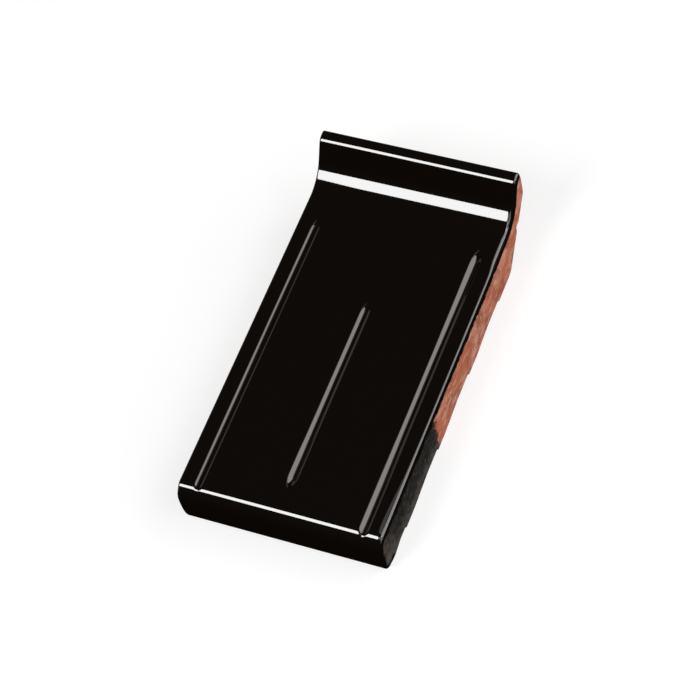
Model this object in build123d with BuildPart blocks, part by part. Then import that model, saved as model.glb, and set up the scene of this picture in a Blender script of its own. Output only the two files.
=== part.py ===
"""Glazed clinker drip tile: a fired clay sill tile with an upstand, drip grooves and a keyed underside.

Millimetres. X is the width, Y runs from the front edge back to the upstand, +Z is up.
The origin is in the middle of the footprint, on the plane that the underside lies on.
"""
from build123d import *
import math
import os

# Plate
length = 205.0
width = 105.0
plate_thickness = 28.0
front_bottom_radius = 7.2
left_arris_radius = 0.9
right_arris_radius = 1.9

# Nose: a sloping shoulder, blended widely into the front face and more tightly into the top
nose_shoulder = 4.9
nose_lower_radius = 9.0
nose_upper_radius = 4.5

# Upstand at the back, with the cove that leads up to it
upstand_height = 20.0
upstand_crest = 5.8
upstand_slope = 60.0
cove_radius = 18.5
crest_front_radius = 4.5
crest_back_radius = 1.4

# Heel, the undercut below the upstand
heel_height = 31.5
heel_run = 28.5
heel_top_radius = 5.0
heel_foot_radius = 6.0
heel_notch_height = 20.0
heel_notch_depth = 3.4

# Mortar keys across the underside, each with a steep step and a long ramp in front of it
key_count = 3
key_pitch = 44.3
key_depth = 2.0
key_step = 1.2
key_floor = 14.0
key_ramp = 18.0

# Drip groove across the underside, in front of the mortar keys
drip_setback = 26.0
drip_floor = 6.0
drip_ramp = 8.0

# Grooves pressed into the top, with ends drawn out by a factor beyond a half circle.
# The left one is pressed less deep, which makes it narrower and shorter.
groove_width = 5.0
left_groove_width = 4.4
groove_floor = 1.4
groove_wall_slope = 32.0
groove_end_stretch = 1.8
outer_groove_offset = 42.5
left_groove_end = 165.0
right_groove_end = 168.0
middle_groove_start = 17.0
middle_groove_end = 125.5

front = -length / 2
back = length / 2
top = plate_thickness
crest = top + upstand_height
foot = back - upstand_crest - upstand_height / math.tan(math.radians(upstand_slope))


def key_corners(setback, floor, ramp):
    """Section of one key, whose step starts at the given distance from the front edge."""
    step_foot = front + setback
    step_top = step_foot - key_step
    ramp_foot = step_top - floor - ramp
    return [(step_foot, 0), (step_top, key_depth), (step_top - floor, key_depth), (ramp_foot, 0)]


def groove_depth(mouth_width):
    """Depth at which walls of the common slope leave the common floor width."""
    return (mouth_width - groove_floor) / 2 * math.tan(math.radians(groove_wall_slope))


def groove_outline(middle, mouth_width, start, end, outline_width):
    """Edges round a level of a top groove: its mouth or its floor, with elliptical ends.

    A groove with no start runs out over the front edge.
    """
    mouth_end = mouth_width / 2 * groove_end_stretch
    last = front + end - mouth_end
    first = front - mouth_end if start is None else front + start + mouth_end
    half = outline_width / 2
    with BuildLine() as outline:
        EllipticalCenterArc((middle, last), half, half * groove_end_stretch, start_angle=0, arc_size=180)
        EllipticalCenterArc((middle, first), half, half * groove_end_stretch, start_angle=180, arc_size=180)
        Line((middle - half, last), (middle - half, first))
        Line((middle + half, first), (middle + half, last))
    return outline.edges()


with BuildPart() as drip_tile:
    # Section through the plate, the upstand and the heel
    with BuildSketch(Plane.YZ) as section:
        with BuildLine():
            Polyline(
                (front, 0),
                (front, top - nose_shoulder),
                (front + nose_shoulder, top),
                (foot, top),
                (back - upstand_crest, crest),
                (back, crest),
                (back, heel_height),
                (back - heel_run, 0),
                close=True,
            )
        make_face()
        for place, radius in (
            ((foot, top), cove_radius),
            ((back - upstand_crest, crest), crest_front_radius),
            ((back, crest), crest_back_radius),
            ((front + nose_shoulder, top), nose_upper_radius),
            ((front, top - nose_shoulder), nose_lower_radius),
            ((front, 0), front_bottom_radius),
            ((back, heel_height), heel_top_radius),
            ((back - heel_run, 0), heel_foot_radius),
        ):
            fillet(section.vertices().sort_by_distance(Vector(*place))[0], radius)
    extrude(amount=width / 2, both=True)

    # Rounded arrises round both cut sides
    fillet(drip_tile.faces().sort_by(Axis.X)[0].edges(), left_arris_radius)
    fillet(drip_tile.faces().sort_by(Axis.X)[-1].edges(), right_arris_radius)

    # Drip groove and mortar keys in the underside
    with BuildSketch(Plane.YZ):
        Polygon(*key_corners(drip_setback, drip_floor, drip_ramp), align=None)
        for number in range(1, key_count + 1):
            Polygon(*key_corners(drip_setback + number * key_pitch, key_floor, key_ramp), align=None)
    extrude(amount=width / 2, both=True, mode=Mode.SUBTRACT)

    # Notch across the sloping heel
    notch_mouth = back - heel_run * (1 - heel_notch_height / heel_height)
    notch_back = notch_mouth - heel_notch_depth
    notch_bottom = heel_notch_height - heel_notch_depth * heel_height / heel_run
    with BuildSketch(Plane.YZ):
        Polygon(
            (notch_mouth, heel_notch_height),
            (notch_back, heel_notch_height),
            (notch_back, notch_bottom),
            align=None,
        )
    extrude(amount=width / 2, both=True, mode=Mode.SUBTRACT)

    # Grooves in the top: the outer two run out over the front edge, the middle one is closed
    for middle, mouth_width, start, end in (
        (-outer_groove_offset, left_groove_width, None, left_groove_end),
        (0, groove_width, middle_groove_start, middle_groove_end),
        (outer_groove_offset, groove_width, None, right_groove_end),
    ):
        with BuildSketch(Plane.XY.offset(top)):
            make_face(groove_outline(middle, mouth_width, start, end, mouth_width))
        with BuildSketch(Plane.XY.offset(top - groove_depth(mouth_width))):
            make_face(groove_outline(middle, mouth_width, start, end, groove_floor))
        loft(ruled=True, mode=Mode.SUBTRACT)

drip_tile.part.label = "drip_tile"
os.makedirs("parts", exist_ok=True)
export_step(drip_tile.part, "parts/drip_tile.step")
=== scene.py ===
"""The looks of the glazed clay drip tile: its fired surface and glaze, the floor, lamps and camera."""
import math

import bpy
import numpy as np
from mathutils import Matrix, Vector, geometry, noise


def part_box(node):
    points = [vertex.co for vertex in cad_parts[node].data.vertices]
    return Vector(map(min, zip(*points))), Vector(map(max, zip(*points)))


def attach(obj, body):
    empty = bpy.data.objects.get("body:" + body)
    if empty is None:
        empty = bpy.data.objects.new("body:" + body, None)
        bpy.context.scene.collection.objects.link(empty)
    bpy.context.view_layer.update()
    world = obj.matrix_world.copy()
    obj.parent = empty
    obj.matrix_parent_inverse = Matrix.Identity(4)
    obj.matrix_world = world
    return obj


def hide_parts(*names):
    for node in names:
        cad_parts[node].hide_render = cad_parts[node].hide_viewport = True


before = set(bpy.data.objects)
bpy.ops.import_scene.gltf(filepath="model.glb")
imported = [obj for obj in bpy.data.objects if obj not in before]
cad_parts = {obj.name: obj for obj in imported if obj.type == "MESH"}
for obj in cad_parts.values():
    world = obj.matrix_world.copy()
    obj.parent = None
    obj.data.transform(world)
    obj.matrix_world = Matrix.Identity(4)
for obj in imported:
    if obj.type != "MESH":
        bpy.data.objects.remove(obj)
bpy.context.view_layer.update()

MM = 0.001
NODE = "drip_tile"
low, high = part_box(NODE)

# Sizes of the tile that its box doesn't give, as in the solid
UPSTAND = 20.0 * MM
CREST = 5.8 * MM
CREST_FRONT_RADIUS = 4.5 * MM
CREST_BACK_RADIUS = 1.4 * MM
UPSTAND_SLOPE = math.radians(60)
COVE_RADIUS = 18.5 * MM
NOSE_SHOULDER = 4.9 * MM
NOSE_LOWER_RADIUS = 9.0 * MM
NOSE_UPPER_RADIUS = 4.5 * MM
FRONT_BOTTOM_RADIUS = 7.2 * MM
HEEL_HEIGHT = 31.5 * MM
HEEL_RUN = 28.5 * MM
HEEL_TOP_RADIUS = 5.0 * MM
HEEL_FOOT_RADIUS = 6.0 * MM
NOTCH_HEIGHT = 20.0 * MM
NOTCH_DEPTH = 3.4 * MM
KEY_DEPTH = 2.0 * MM
KEY_STEP = 1.2 * MM
KEY_PITCH = 44.3
DRIP_SETBACK = 26.0
# Setback, floor and ramp, in millimetres, of the drip groove and the three mortar keys behind it
KEY_SHAPES = [(DRIP_SETBACK, 6.0, 8.0)]
KEY_SHAPES += [(DRIP_SETBACK + KEY_PITCH * number, 14.0, 18.0) for number in (1, 2, 3)]
GROOVE_FLOOR = 1.4 * MM
GROOVE_SLOPE = math.tan(math.radians(32))
# Middle, mouth width, and where a groove starts and ends behind the front face
GROOVES = [
    (-42.5 * MM, 4.4 * MM, None, 165.0 * MM),
    (0.0, 5.0 * MM, 17.0 * MM, 125.5 * MM),
    (42.5 * MM, 5.0 * MM, None, 168.0 * MM),
]

# A groove's end is drawn out beyond a half circle by the first factor. The power sets how pointed it is:
# 2 would be an ellipse, 1 a wedge.
GROOVE_END_STRETCH = 2.6
GROOVE_END_POWER = 1.5

# How unevenly each groove was pressed, in millimetres: at a distance behind the front face,
# what is added to half the mouth, and the depth of the glaze that has pooled on the floor
PRESSING = [
    [(17, -0.13, 0.17), (60, -0.05, 0.20), (100, 0.0, 0.33), (150, -0.05, 0.27)],
    [(37, 0.15, -0.04), (47, 0.0, 0.03), (66, -0.08, 0.08), (120, -0.10, 0.11)],
    [(32, 0.05, -0.13), (62, -0.16, 0.04), (106, -0.16, 0.06), (136, -0.06, -0.05), (152, 0.10, -0.11)],
]
POOL_REACH = 12 * MM

# Softness of a groove's lips and floor, and of the edge where it runs out over the nose. Where a groove
# is shallower than its lip, the surface goes down to it by that much less.
LIP_SOFTNESS = 0.14 * MM
FLOOR_SOFTNESS = 0.25 * MM
NOSE_SOFTNESS = 0.4 * MM
LIP_DEPTH = 0.25 * MM

# How finely the mesh is divided: along the straight runs and arcs of the side section, across the width,
# and round the arrises by slope. The gentle and the steep slope part an arris's three radii.
RUN_STEP = 1.2 * MM
ARC_STEP = 0.7 * MM
ARC_TURN = math.radians(12)
FINE_COLUMN = 0.25 * MM
WIDE_COLUMN = 6 * MM
COLUMN_DECIMALS = 7
WIDEST_ARRIS = 4.0 * MM
BESIDE_ARRIS = 0.3 * MM
ARRIS_SLOPES = np.radians((90, 78, 66, 55, 48, 42, 36, 30, 25, 20, 15, 10, 5, 0))
GENTLE_SLOPE = math.radians(20)
STEEP_SLOPE = math.radians(45)

# The bare clay's corners and arrises, and how unevenly they are worn
RAW_CORNER = 0.7 * MM
RAMP_CORNER = 4 * RAW_CORNER
RAW_ARRIS = 0.4 * MM
MOST_WORN = 0.8 * RAW_CORNER
WEAR = 0.8
WEAR_PATCH = 2.5 * MM
WEAR_APART = 0.3

# The glazed arrises. Each stretch runs from where something is none to where it is full: in height, in
# height over the plate's top, or in distance behind the front face, all in millimetres.
LEFT_ARRIS = 0.9 * MM
RIGHT_ARRIS = 1.6 * MM
LEFT_LOW_CORNER = 1.8 * MM
RIGHT_LOW_CORNER = 0.2 * MM
LOW_CORNER_HEIGHTS = (12, 4)
DOWN_FRONT = (-2, -17)
DOWN_FRONT_NARROWS = 0.6
UP_UPSTAND = (6, 16)
UP_UPSTAND_NARROWS = 0.6
AT_BACK = (155, 165)
SAG = (75, 15)
SHOULDER = (42, 10)
BEHIND_NOSE = (3, 9)
# For the right arris's gentle, middle and steep slopes: the share of the plain radius, and the millimetres
# that are added at the back, by the sag and at the shoulder
RIGHT_SLOPES = [(0.5, 0.5, 0.8, 5.8), (1.0, 0.9, 1.2, 0.0), (1.0, 2.0, -0.3, 0.0)]
ARRIS_SMOOTHINGS = 6

# The cut sides are slightly hollow, and their mesh is scattered
SIDE_SPACING = 2.2 * MM
SIDE_SCATTER = 0.3
SIDE_SEED = 7
RIM_CLEARANCE = 0.9 * MM
HOLLOW = 0.12 * MM
HOLLOW_PATCH = 9
INSIDE_ONLY = 1
MERGE_DISTANCE = 1e-6

# The bare heel starts below a line that rises behind the cove's foot at this rate
HEEL_LINE = 0.9

# Noises of the material: scale per millimetre, detail and roughness
NOISES = {
    "wander": (0.22, 3.0, 0.55),
    "fray": (0.9, 3.0, 0.55),
    "blotch": (0.13, 5.0, 0.65),
    "speck": (0.55, 4.0, 0.7),
    "fumes": (0.25, 3.0, 0.55),
    "crust": (0.5, 3.0, 0.55),
    "mottle": (0.35, 6.0, 0.7),
    "cloud": (0.14, 3.0, 0.55),
    "warm": (0.09, 3.0, 0.55),
    "fine": (1.1, 5.0, 0.7),
    "streak": (0.45, 4.0, 0.6),
    "grog": (0.75, 2.0, 0.4),
    "grain": (1.6, 6.0, 0.7),
    "drag": (0.9, 4.0, 0.6),
}

# The glaze ends on the cut sides in a line that wanders and frays, in millimetres below the glazed faces.
# Ramps lower or raise it, each from one place to another, with the amounts there: behind the front face
# at the nose and by the upstand, and in height up the upstand.
WANDER = 5.0
FRAY = 2.4
AT_NOSE_LOWERS = (2, 9, -1.7, 1.05)
AT_BACK_LOWERS = (162, 169, 0.0, -3.05)
UP_UPSTAND_LOWERS = (34, 42, 0.0, -0.7)
LEAST_GLAZE = 1.2
GLAZE_SOFTNESS = 0.5
WASH_SOFTENS = 0.65
GLAZE = (0.0046, 0.0030, 0.0020, 1)

# The thin wash of glaze reaches this far behind the front face, to a slanting, blotchy and speckled line.
# It is thinner, and so paler, low down and near the front.
WASH = 72.5
WASH_SLANT = -0.06
WASH_BLOTCH = 16.0
WASH_SPECK = 13.0
WASH_END = (2.2, -2.2)
WASH_THIN_LOW = (16, 1, 0.0, 0.25)
WASH_THIN_FRONT = (18, 3, 0.0, 0.2)
WASH_THIN = (0.42, 0.92)
WASH_DARK_COLOUR = (0.016, 0.0165, 0.015, 1)
WASH_THIN_COLOUR = (0.092, 0.080, 0.071, 1)

# The clay's clouds of tone, and the layers over them: warm patches, fine dark mottling, drag marks of the
# cutting wire, and pale grog. A layer has its noise and how that is stretched, the ramp of the noise,
# how strong it is, and its colour.
CLOUD = (0.4, 0.6)
CLAY_DEEP = (0.350, 0.125, 0.074, 1)
CLAY_PALE = (0.610, 0.255, 0.175, 1)
CLAY_LAYERS = [
    ("warm", (1.0, 0.6, 1.1), (0.45, 0.58), 0.75, (0.530, 0.140, 0.068, 1)),
    ("fine", (1.0, 1.0, 1.0), (0.35, 0.75), 0.6, (0.260, 0.108, 0.072, 1)),
    ("streak", (1.0, 0.3, 0.9), (0.50, 0.70), 0.7, (0.700, 0.400, 0.300, 1)),
    ("grog", (1.0, 1.0, 1.0), (0.66, 0.72), 0.7, (0.700, 0.500, 0.400, 1)),
]
# What the glaze leaves on the clay just below its end, fumes and then a pale crust: the depth below the
# end where it is gone and where it is full, its noise, the noise's ramp with its strength, and its colour
EDGE_LAYERS = [
    ((2.6, 0.2), "fumes", (0.4, 0.6, 0.2, 0.8), (0.27, 0.135, 0.075, 1)),
    ((1.3, 0.4), "crust", (0.54, 0.64, 0.0, 0.7), (0.72, 0.50, 0.40, 1)),
]

# Roughness of the surfaces, the relief of the bare clay, and how far up a normal points, from 0 to 1,
# where the glaze starts to gloss and where it has its full gloss
GLAZE_ROUGHNESS = 0.04
WASH_ROUGHNESS = 0.43
CLAY_ROUGHNESS = 0.85
RELIEF = 0.35 * MM
GRAIN_RELIEF = 0.6
DRAG_RELIEF = 0.7
DRAG_STRETCH = (1.0, 0.15, 1.2)
GLOSSY_SLOPES = (0.52, 0.66)

# Sockets of the colour mixer that share their names with others
MIX_FIRST, MIX_SECOND, MIX_RESULT = 6, 7, 2

# The floor, whose glow makes it white to the camera, and the little light of the dark room round it
FLOOR_REACH = 4.0
FLOOR_COLOUR = (0.36, 0.36, 0.36, 1)
FLOOR_ROUGHNESS = 0.9
FLOOR_GLOW = 0.69
WORLD_LIGHT = 0.01
WHITE = (1, 1, 1)

# Lamps, all at one distance from the middle of the plate's top: direction, width, height, the brightness
# of the face, and its tint. The key is mirrored by the nose, the cove and the crest, the side lamps by the
# grooves' left walls and the right arris, the back lamp by the grooves' right walls, the corner lamps where
# the nose meets the right arris, and the high one by the sagged glaze there. The fills light the cut sides.
LAMP_DISTANCE = 3.0
LAMPS = {
    "key": ((-0.31, -0.63, 0.71), 0.8, 1.5, 11.3, WHITE),
    "side": ((0.60, 0.37, 0.71), 2.6, 1.4, 2.75, (1, 0.95, 0.93)),
    "low side": ((0.83, 0.42, 0.40), 2.6, 0.66, 4.4, WHITE),
    "back": ((-0.87, 0.44, 0.19), 1.6, 1.0, 0.31, (1, 0.82, 0.76)),
    "right fill": ((0.88, -0.40, 0.30), 2.0, 1.4, 2.0, WHITE),
    "left fill": ((-0.85, -0.45, 0.30), 2.0, 1.4, 1.6, WHITE),
    "corner": ((0.66, -0.14, 0.74), 1.5, 1.2, 2.8, WHITE),
    "front corner": ((0.25, -0.56, 0.75), 1.8, 1.2, 1.6, WHITE),
    "high": ((0.108, 0.458, 0.882), 1.25, 0.8, 0.5, WHITE),
}

# The camera looks from the front right, down at 56 degrees, and is rolled by 16 degrees. Its place and
# its right and up directions follow from the perspective of the photograph.
CAMERA_LENS = 136.2
CAMERA_SENSOR = 36.0
CAMERA_PLACE = (0.40237, -0.58933, 1.09672)
CAMERA_RIGHT = Vector((0.9220, 0.3559, -0.1523))
CAMERA_UP = Vector((-0.2274, 0.8162, 0.5311))

front, back = low.y, high.y
half_width = high.x
crest = high.z
top = crest - UPSTAND
foot = back - CREST - UPSTAND / math.tan(UPSTAND_SLOPE)


def section_corners():
    """Corners of the side section, as (y, z, radius), from the front's foot over the top and back below."""
    corners = [
        (front, 0, FRONT_BOTTOM_RADIUS),
        (front, top - NOSE_SHOULDER, NOSE_LOWER_RADIUS),
        (front + NOSE_SHOULDER, top, NOSE_UPPER_RADIUS),
        (foot, top, COVE_RADIUS),
        (back - CREST, crest, CREST_FRONT_RADIUS),
        (back, crest, CREST_BACK_RADIUS),
        (back, HEEL_HEIGHT, HEEL_TOP_RADIUS),
    ]
    slope = HEEL_RUN / HEEL_HEIGHT
    notch = back - HEEL_RUN + NOTCH_HEIGHT * slope
    corners += [
        (notch, NOTCH_HEIGHT, RAW_CORNER),
        (notch - NOTCH_DEPTH, NOTCH_HEIGHT, RAW_CORNER),
        (notch - NOTCH_DEPTH, NOTCH_HEIGHT - NOTCH_DEPTH / slope, RAW_CORNER),
        (back - HEEL_RUN, 0, HEEL_FOOT_RADIUS),
    ]
    for setback, flat, ramp in reversed(KEY_SHAPES):
        step_foot = front + setback * MM
        step_top = step_foot - KEY_STEP
        corners += [
            (step_foot, 0, RAW_CORNER),
            (step_top, KEY_DEPTH, RAW_CORNER),
            (step_top - flat * MM, KEY_DEPTH, RAMP_CORNER),
            (step_top - (flat + ramp) * MM, 0, RAMP_CORNER),
        ]
    return corners


def rounded_outline(corners):
    """Points along a closed outline with rounded corners, whose runs and arcs are divided evenly."""
    points = []
    count = len(corners)
    for index, (y, z, radius) in enumerate(corners):
        here = np.array((y, z))
        before = np.array(corners[index - 1][:2]) - here
        after = np.array(corners[(index + 1) % count][:2]) - here
        before /= np.linalg.norm(before)
        after /= np.linalg.norm(after)
        between = math.acos(np.clip(before @ after, -1, 1))
        reach = radius / math.tan(between / 2)
        bisector = (before + after) / np.linalg.norm(before + after)
        centre = here + bisector * radius / math.sin(between / 2)
        first = here + before * reach - centre
        last = here + after * reach - centre
        turn = math.pi - between
        steps = max(3, math.ceil(turn * radius / ARC_STEP), math.ceil(turn / ARC_TURN))
        arc = []
        for step in range(steps + 1):
            share = step / steps
            spoke = first * math.sin((1 - share) * turn) + last * math.sin(share * turn)
            arc.append(centre + spoke / math.sin(turn))
        if points:
            points += divided(points[-1], arc[0])
        points += arc
    points += divided(points[-1], points[0])
    return np.array(points)


def divided(start, end):
    """The points between start and end, at most a step apart."""
    count = math.ceil(np.linalg.norm(end - start) / RUN_STEP)
    return [start + (end - start) * number / count for number in range(1, count)]


def outward_normals(points):
    """Unit normals of a closed outline that runs with the material on its right."""
    along = np.roll(points, -1, axis=0) - np.roll(points, 1, axis=0)
    along /= np.linalg.norm(along, axis=1)[:, None]
    return np.column_stack((-along[:, 1], along[:, 0]))


def ease(share):
    """A value from 0 to 1 that starts and ends softly."""
    share = np.clip(share, 0, 1)
    return share * share * (3 - 2 * share)


def grown(place, none, full):
    """A share that eases from 0 at one place to 1 at another."""
    return ease((place - none) / (full - none))


def smooth_lower(a, b, softness):
    """The lower of two values, with the corner between them rounded."""
    return (a + b - np.sqrt((a - b) ** 2 + softness**2)) / 2


def groove_sink(x, y):
    """How far the three top grooves lower the glaze at a place."""
    sink = np.zeros_like(y)
    for (middle, width, start, end), pressing in zip(GROOVES, PRESSING):
        wider, pool = pressed(pressing, y)
        half = width / 2
        reach = half * GROOVE_END_STRETCH
        beyond = y - (front + end - reach)
        if start is not None:
            beyond = np.maximum(beyond, front + start + reach - y)
        beyond = np.clip(beyond, 0, None) / GROOVE_END_STRETCH
        across = np.abs(x - middle)
        spread = (across**GROOVE_END_POWER + beyond**GROOVE_END_POWER) ** (1 / GROOVE_END_POWER)
        floor = (width - GROOVE_FLOOR) / 2 + wider - pool * ease((y - front) / POOL_REACH) / GROOVE_SLOPE
        depth = smooth_lower(half + wider - spread, floor, FLOOR_SOFTNESS) * GROOVE_SLOPE
        sink += -smooth_lower(-depth, 0, LIP_SOFTNESS)
    return sink


def pressed(pressing, y):
    """What the uneven pressing adds to half a groove's mouth, and its pool of glaze, along the groove."""
    stations, wider, pool = np.array(pressing).T * MM
    return np.interp(y - front, stations, wider), np.interp(y - front, stations, pool)


def groove_drop(x, y, z):
    """How far a spot goes down to the grooves, which run out over the nose at their own level."""
    sink = groove_sink(x, y)
    spare = np.clip(sink - (top - z) + NOSE_SOFTNESS, 0, 2 * NOSE_SOFTNESS)
    drop = np.maximum(sink - (top - z), spare**2 / (4 * NOSE_SOFTNESS))
    return drop * np.clip(sink / LIP_DEPTH, 0, 1)


def column_places():
    """Places across the width for the mesh's columns: close at the grooves, further apart between."""
    inner = half_width - WIDEST_ARRIS - 2 * BESIDE_ARRIS
    places = set()
    for middle, width, _, _ in GROOVES:
        reach = width / 2 + 4 * FINE_COLUMN
        fine = np.linspace(middle - reach, middle + reach, 2 * round(reach / FINE_COLUMN) + 1)
        places.update(np.round(fine, COLUMN_DECIMALS))
    ordered = sorted(places)
    for left, right in zip([-inner, *ordered], [*ordered, inner]):
        if right - left > 2 * FINE_COLUMN:
            count = math.ceil((right - left) / WIDE_COLUMN)
            places.update(np.linspace(left, right, count + 1)[:-1])
    return sorted(places | {-inner, inner})


def surface_mesh():
    """Vertices and faces of the tile, with each vertex's distance from the glazed faces."""
    outline = rounded_outline(section_corners())
    normals = outward_normals(outline)
    glazed = glazed_share(outline)
    rows = len(outline)
    columns = []
    for side in (-1, 1):
        radii = arris_radii(outline, glazed, side)
        edge = [arris_spot(radii, slope) for slope in ARRIS_SLOPES]
        edge.append((edge[-1][0] + BESIDE_ARRIS, np.zeros(rows)))
        edge = [(side * (half_width - setback), inset) for setback, inset in edge]
        columns += edge if side < 0 else edge[::-1]
        if side < 0:
            columns += [(np.full(rows, place), np.zeros(rows)) for place in column_places()]
    layers = []
    for x, inset in columns:
        spots = outline - normals * inset[:, None]
        spots[:, 1] -= np.where(glazed, groove_drop(x, *spots.T), 0)
        layers.append(np.column_stack((x, spots)))
    verts = np.concatenate(layers)
    last = len(columns) - 1
    faces = []
    for here in range(0, last * rows, rows):
        beside = here + rows
        for row in range(rows):
            ahead = (row + 1) % rows
            faces.append((here + row, beside + row, beside + ahead, here + ahead))
    for column, side in ((0, -1), (last, 1)):
        verts, faces = add_cut_side(verts, faces, column * rows, rows, side)
    gap = distance_from(verts[:, 1:], outline[glazed])
    gap[: len(columns) * rows][np.tile(glazed, len(columns))] = 0
    return verts, faces, gap


def glazed_share(outline):
    """Which points of the outline are on the glazed faces: the front, the top and the upstand's crest."""
    y, z = outline.T
    on_top = z > top - NOSE_SHOULDER
    on_front = y < front + FRONT_BOTTOM_RADIUS
    on_back = (y > back - CREST_BACK_RADIUS / 2) & (z < crest - CREST_BACK_RADIUS)
    on_heel = (y > back - HEEL_RUN) & (z < top + (y - foot) * HEEL_LINE)
    return (on_top | on_front) & ~on_back & ~on_heel


def arris_radii(outline, glazed, side):
    """Radii along a cut side for the arris's gentle, middle and steep slopes.

    They are full where the glaze runs over the edge, small and chipped on bare clay. Near the nose on
    the right the glaze sags: the arris begins far in and gently, and ends in a tight turn.
    """
    y, z = outline.T
    behind = (y - front) / MM
    above = (z - top) / MM
    wear = np.array([noise.noise(Vector((*spot, WEAR_APART * side)) / WEAR_PATCH) for spot in outline])
    raw = np.minimum(RAW_ARRIS * (1 + WEAR * wear), MOST_WORN)
    on_front = y < front + NOSE_SHOULDER
    low_corner = np.where(on_front, grown(z / MM, *LOW_CORNER_HEIGHTS), 0)
    if side > 0:
        at_back = grown(behind, *AT_BACK) * (1 - UP_UPSTAND_NARROWS * grown(above, *UP_UPSTAND))
        down_front = np.where(on_front, grown(above, *DOWN_FRONT), 0)
        plain = RIGHT_ARRIS * (1 - DOWN_FRONT_NARROWS * down_front) + RIGHT_LOW_CORNER * low_corner
        sag = grown(behind, *SAG) * (1 - down_front)
        shoulder = grown(behind, *SHOULDER) * grown(behind, *BEHIND_NOSE)
        smooth = [
            share * plain + (back_adds * at_back + sag_adds * sag + shoulder_adds * shoulder) * MM
            for share, back_adds, sag_adds, shoulder_adds in RIGHT_SLOPES
        ]
    else:
        smooth = [LEFT_ARRIS + LEFT_LOW_CORNER * low_corner] * 3
    radii = np.where(glazed, smooth, raw)
    for _ in range(ARRIS_SMOOTHINGS):
        radii = (np.roll(radii, 1, axis=1) + radii + np.roll(radii, -1, axis=1)) / 3
    return radii


def arris_spot(radii, slope):
    """Distance from the cut side and depth below the outline where the arris has a slope."""
    gentle, middle, steep = radii
    flat = min(slope, GENTLE_SLOPE)
    mid = min(max(slope, GENTLE_SLOPE), STEEP_SLOPE)
    sheer = max(slope, STEEP_SLOPE)
    setback = steep * (1 - math.sin(sheer)) + middle * (math.sin(STEEP_SLOPE) - math.sin(mid))
    setback = setback + gentle * (math.sin(GENTLE_SLOPE) - math.sin(flat))
    inset = gentle * (1 - math.cos(flat)) + middle * (math.cos(GENTLE_SLOPE) - math.cos(mid))
    return setback, inset + steep * (math.cos(STEEP_SLOPE) - math.cos(sheer))


def add_cut_side(verts, faces, first, rows, side):
    """Closes one side with a triangulated face, whose inner points are a little lower than its rim."""
    rim = verts[first : first + rows, 1:]
    grid_y, grid_z = np.meshgrid(np.arange(front, back, SIDE_SPACING), np.arange(0, crest, SIDE_SPACING))
    draw = np.random.default_rng(SIDE_SEED + side).uniform(-SIDE_SCATTER, SIDE_SCATTER, (grid_y.size, 2))
    inner = np.column_stack((grid_y.ravel(), grid_z.ravel())) + draw * SIDE_SPACING
    clear = distance_from(inner, rim) > RIM_CLEARANCE
    inner = inner[clear & inside_outline(inner, rim)]
    flat = [Vector(spot) / MM for spot in np.concatenate((rim, inner))]
    mesh = geometry.delaunay_2d_cdt(flat, [], [list(range(rows))], INSIDE_ONLY, MERGE_DISTANCE)
    made, _, triangles, origins, _, _ = mesh
    place_of = {}
    added = []
    for number, (spot, origin) in enumerate(zip(made, origins)):
        if origin and origin[0] < rows:
            place_of[number] = first + origin[0]
            continue
        dip = HOLLOW * (1 + noise.noise(Vector((side, spot.x / HOLLOW_PATCH, spot.y / HOLLOW_PATCH))))
        place_of[number] = len(verts) + len(added)
        added.append((side * (half_width - dip), spot.x * MM, spot.y * MM))
    for corners in triangles:
        order = [place_of[corner] for corner in corners]
        faces.append(order if side > 0 else order[::-1])
    return np.concatenate((verts, np.array(added))), faces


def distance_from(spots, outline):
    """Distance of each spot from the nearest point of an outline."""
    nearest = np.full(len(spots), np.inf)
    for point in outline:
        nearest = np.minimum(nearest, np.hypot(*(spots - point).T))
    return nearest


def inside_outline(spots, outline):
    """Which spots lie inside a closed outline, by counting crossings."""
    inside = np.zeros(len(spots), bool)
    for (y0, z0), (y1, z1) in zip(outline, np.roll(outline, -1, axis=0)):
        crosses = (z0 > spots[:, 1]) != (z1 > spots[:, 1])
        if z0 != z1:
            at = y0 + (spots[:, 1] - z0) * (y1 - y0) / (z1 - z0)
            inside ^= crosses & (spots[:, 0] < at)
    return inside


def add_object(name, data):
    """Puts a new object with this data in the scene."""
    made = bpy.data.objects.new(name, data)
    bpy.context.scene.collection.objects.link(made)
    return made


def make_tile():
    """The whole tile as one closed mesh, which also carries the distance from the glazed faces."""
    verts, faces, gap = surface_mesh()
    mesh = bpy.data.meshes.new("glazed_tile")
    mesh.from_pydata(verts.tolist(), [], faces)
    mesh.validate()
    mesh.update()
    for polygon in mesh.polygons:
        polygon.use_smooth = True
    attribute = mesh.attributes.new("glaze_gap", "FLOAT", "POINT")
    attribute.data.foreach_set("value", (gap / MM).astype(np.float32))
    mesh.materials.append(tile_material())
    tile = add_object("glazed_tile", mesh)
    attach(tile, "root")
    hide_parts(NODE)


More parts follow.
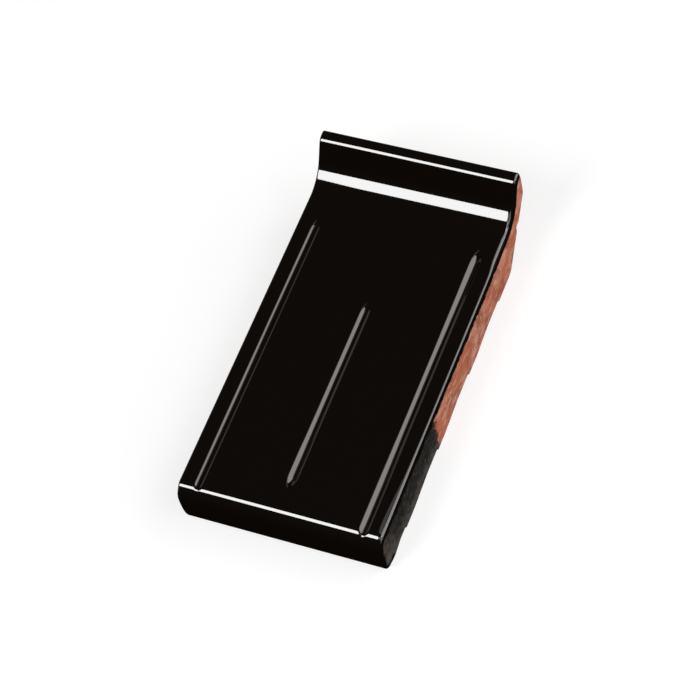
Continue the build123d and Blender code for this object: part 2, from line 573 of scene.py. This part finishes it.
class Nodes:
    """Short calls for making and linking the shader nodes of one material."""

    def __init__(self, material):
        material.use_nodes = True
        self.tree = material.node_tree
        self.shader = self.tree.nodes["Principled BSDF"]

    def add(self, kind, links=(), **values):
        node = self.tree.nodes.new(kind)
        for name, value in values.items():
            setattr(node, name, value)
        for socket, value in dict(links).items():
            self.set(node, socket, value)
        return node

    def set(self, node, socket, value):
        if isinstance(value, bpy.types.NodeSocket):
            self.tree.links.new(value, node.inputs[socket])
        else:
            node.inputs[socket].default_value = value

    def noise(self, place, name):
        scale, detail, roughness = NOISES[name]
        links = {"Vector": place, "Scale": scale, "Detail": detail, "Roughness": roughness}
        return self.add("ShaderNodeTexNoise", links).outputs["Fac"]

    def math(self, operation, *values):
        node = self.add("ShaderNodeMath", operation=operation)
        for number, value in enumerate(values):
            self.set(node, number, value)
        return node.outputs[0]

    def swing(self, share, width):
        """A share turned into a length that swings evenly about zero."""
        return self.math("MULTIPLY_ADD", share, width, -width / 2)

    def ramp(self, value, start, end, low_value=0.0, high_value=1.0):
        ends = {"From Min": start, "From Max": end, "To Min": low_value, "To Max": high_value}
        node = self.add("ShaderNodeMapRange", {"Value": value, **ends}, interpolation_type="SMOOTHSTEP")
        return node.outputs["Result"]

    def mix(self, share, first, second):
        links = {"Factor": share, MIX_FIRST: first, MIX_SECOND: second}
        return self.add("ShaderNodeMix", links, data_type="RGBA").outputs[MIX_RESULT]

    def stretched(self, place, x, y, z):
        return self.add("ShaderNodeMapping", {"Vector": place, "Scale": (x, y, z)}).outputs["Vector"]


def tile_material():
    """Fired clay with a black-brown gloss glaze over the weathered faces and a thin wash near the nose."""
    material = bpy.data.materials.new("glazed_clay")
    n = Nodes(material)
    coordinates = n.add("ShaderNodeTexCoord").outputs
    place = n.stretched(coordinates["Object"], 1 / MM, 1 / MM, 1 / MM)
    parts = n.add("ShaderNodeSeparateXYZ", {"Vector": place}).outputs
    height = parts["Z"]
    behind = n.math("SUBTRACT", parts["Y"], front / MM)

    past = n.math("MULTIPLY_ADD", height, WASH_SLANT, n.math("SUBTRACT", behind, WASH))
    past = n.math("ADD", past, n.swing(n.noise(place, "blotch"), WASH_BLOTCH))
    past = n.math("ADD", past, n.swing(n.noise(place, "speck"), WASH_SPECK))
    wash = n.ramp(past, *WASH_END)

    gap = n.add("ShaderNodeAttribute", attribute_name="glaze_gap").outputs["Fac"]
    depth = n.math("SUBTRACT", gap, glaze_end(n, place, behind, height))
    softness = n.math("MULTIPLY_ADD", wash, WASH_SOFTENS, GLAZE_SOFTNESS)
    glaze = n.ramp(depth, softness, n.math("MULTIPLY", softness, -1.0))

    clay = clay_colour(n, place)
    for reach, name, strength, colour in EDGE_LAYERS:
        share = n.math("MULTIPLY", n.ramp(depth, *reach), n.ramp(n.noise(place, name), *strength))
        clay = n.mix(share, clay, colour)
    bare = n.mix(wash, clay, wash_colour(n, place, behind, height))
    n.set(n.shader, "Base Color", n.mix(glaze, bare, GLAZE))

    keep = n.math("SUBTRACT", 1.0, glaze)
    rougher = n.math("MULTIPLY_ADD", wash, WASH_ROUGHNESS - CLAY_ROUGHNESS, CLAY_ROUGHNESS)
    rougher = n.math("SUBTRACT", rougher, GLAZE_ROUGHNESS)
    n.set(n.shader, "Roughness", n.math("MULTIPLY_ADD", rougher, keep, GLAZE_ROUGHNESS))

    # The glaze lies thick and bright on faces that look up, and runs thin and dull on the steep ones
    upward = n.add("ShaderNodeSeparateXYZ", {"Vector": coordinates["Normal"]}).outputs["Z"]
    n.set(n.shader, "Specular IOR Level", n.ramp(upward, *GLOSSY_SLOPES))

    grain = n.add("ShaderNodeBump", {"Height": clay_relief(n, place), "Strength": keep, "Distance": RELIEF})
    n.set(n.shader, "Normal", grain.outputs["Normal"])
    return material


def glaze_end(n, place, behind, height):
    """How far below the glazed faces the glaze ends, in millimetres."""
    fray = n.math("MULTIPLY", n.noise(place, "fray"), FRAY)
    end = n.math("MULTIPLY_ADD", n.noise(place, "wander"), WANDER, fray)
    lowers = n.math("ADD", n.ramp(behind, *AT_NOSE_LOWERS), n.ramp(behind, *AT_BACK_LOWERS))
    lowers = n.math("ADD", lowers, n.ramp(height, *UP_UPSTAND_LOWERS))
    return n.math("MAXIMUM", n.math("ADD", end, lowers), LEAST_GLAZE)


def wash_colour(n, place, behind, height):
    """The thin wash: nearly black in mottled patches, greyer where less of it was left."""
    thin = n.math("ADD", n.noise(place, "mottle"), n.ramp(height, *WASH_THIN_LOW))
    thin = n.math("ADD", thin, n.ramp(behind, *WASH_THIN_FRONT))
    return n.mix(n.ramp(thin, *WASH_THIN), WASH_DARK_COLOUR, WASH_THIN_COLOUR)


def clay_colour(n, place):
    """Red-burning clay: clouds of tone with the layers over them."""
    clay = n.mix(n.ramp(n.noise(place, "cloud"), *CLOUD), CLAY_DEEP, CLAY_PALE)
    for name, stretch, ends, strength, colour in CLAY_LAYERS:
        pattern = n.ramp(n.noise(n.stretched(place, *stretch), name), *ends)
        clay = n.mix(n.math("MULTIPLY", pattern, strength), clay, colour)
    return clay


def clay_relief(n, place):
    """Height of the bare clay: grains with wire drag across them."""
    grains = n.math("MULTIPLY", n.noise(place, "grain"), GRAIN_RELIEF)
    drag = n.noise(n.stretched(place, *DRAG_STRETCH), "drag")
    return n.math("MULTIPLY_ADD", drag, DRAG_RELIEF, grains)


def add_floor():
    """A pale floor that takes the tile's shadow and is white to the camera, in gloss and through glass."""
    mesh = bpy.data.meshes.new("floor")
    corners = [(x * FLOOR_REACH, y * FLOOR_REACH, 0) for x, y in ((-1, -1), (1, -1), (1, 1), (-1, 1))]
    mesh.from_pydata(corners, [], [(0, 1, 2, 3)])
    material = bpy.data.materials.new("pale_floor")
    n = Nodes(material)
    n.set(n.shader, "Base Color", FLOOR_COLOUR)
    n.set(n.shader, "Roughness", FLOOR_ROUGHNESS)
    n.set(n.shader, "Specular IOR Level", 0.0)
    rays = n.add("ShaderNodeLightPath").outputs
    seen = n.math("MAXIMUM", rays["Is Glossy Ray"], rays["Is Transmission Ray"])
    seen = n.math("MAXIMUM", rays["Is Camera Ray"], seen)
    n.set(n.shader, "Emission Color", (*WHITE, 1))
    n.set(n.shader, "Emission Strength", n.math("MULTIPLY", seen, FLOOR_GLOW))
    mesh.materials.append(material)
    add_object("floor", mesh)


def add_camera():
    """The photograph's view."""
    camera = bpy.data.cameras.new("camera")
    camera.lens = CAMERA_LENS
    camera.sensor_width = CAMERA_SENSOR
    holder = add_object("camera", camera)
    turn = Matrix((CAMERA_RIGHT, CAMERA_UP, CAMERA_RIGHT.cross(CAMERA_UP))).transposed().to_4x4()
    holder.matrix_world = Matrix.Translation(CAMERA_PLACE) @ turn
    bpy.context.scene.camera = holder


def add_lamp(name, towards, width, height, radiance, tint):
    """A soft rectangular lamp that shines on the tile's middle with the given brightness of its face."""
    lamp = bpy.data.lights.new(name, "AREA")
    lamp.shape = "RECTANGLE"
    lamp.size = width
    lamp.size_y = height
    lamp.energy = radiance * math.pi * width * height
    lamp.color = tint
    holder = add_object(name, lamp)
    direction = Vector(towards).normalized()
    holder.location = Vector((0, 0, top)) + direction * LAMP_DISTANCE
    holder.rotation_euler = direction.to_track_quat("Z", "Y").to_euler()
    holder.visible_camera = False


def light_scene():
    """The lamps in a dark room, whose walls are white to the camera alone."""
    world = bpy.data.worlds.new("studio")
    world.use_nodes = True
    tree = world.node_tree
    walls = tree.nodes["Background"]
    walls.inputs["Color"].default_value = (*WHITE, 1)
    seen = tree.nodes.new("ShaderNodeLightPath").outputs["Is Camera Ray"]
    strength = tree.nodes.new("ShaderNodeMath")
    strength.operation = "MAXIMUM"
    strength.inputs[0].default_value = WORLD_LIGHT
    tree.links.new(seen, strength.inputs[1])
    tree.links.new(strength.outputs[0], walls.inputs["Strength"])
    bpy.context.scene.world = world
    for name, settings in LAMPS.items():
        add_lamp(name, *settings)
    bpy.context.scene.view_settings.view_transform = "Standard"


make_tile()
add_floor()
add_camera()
light_scene()
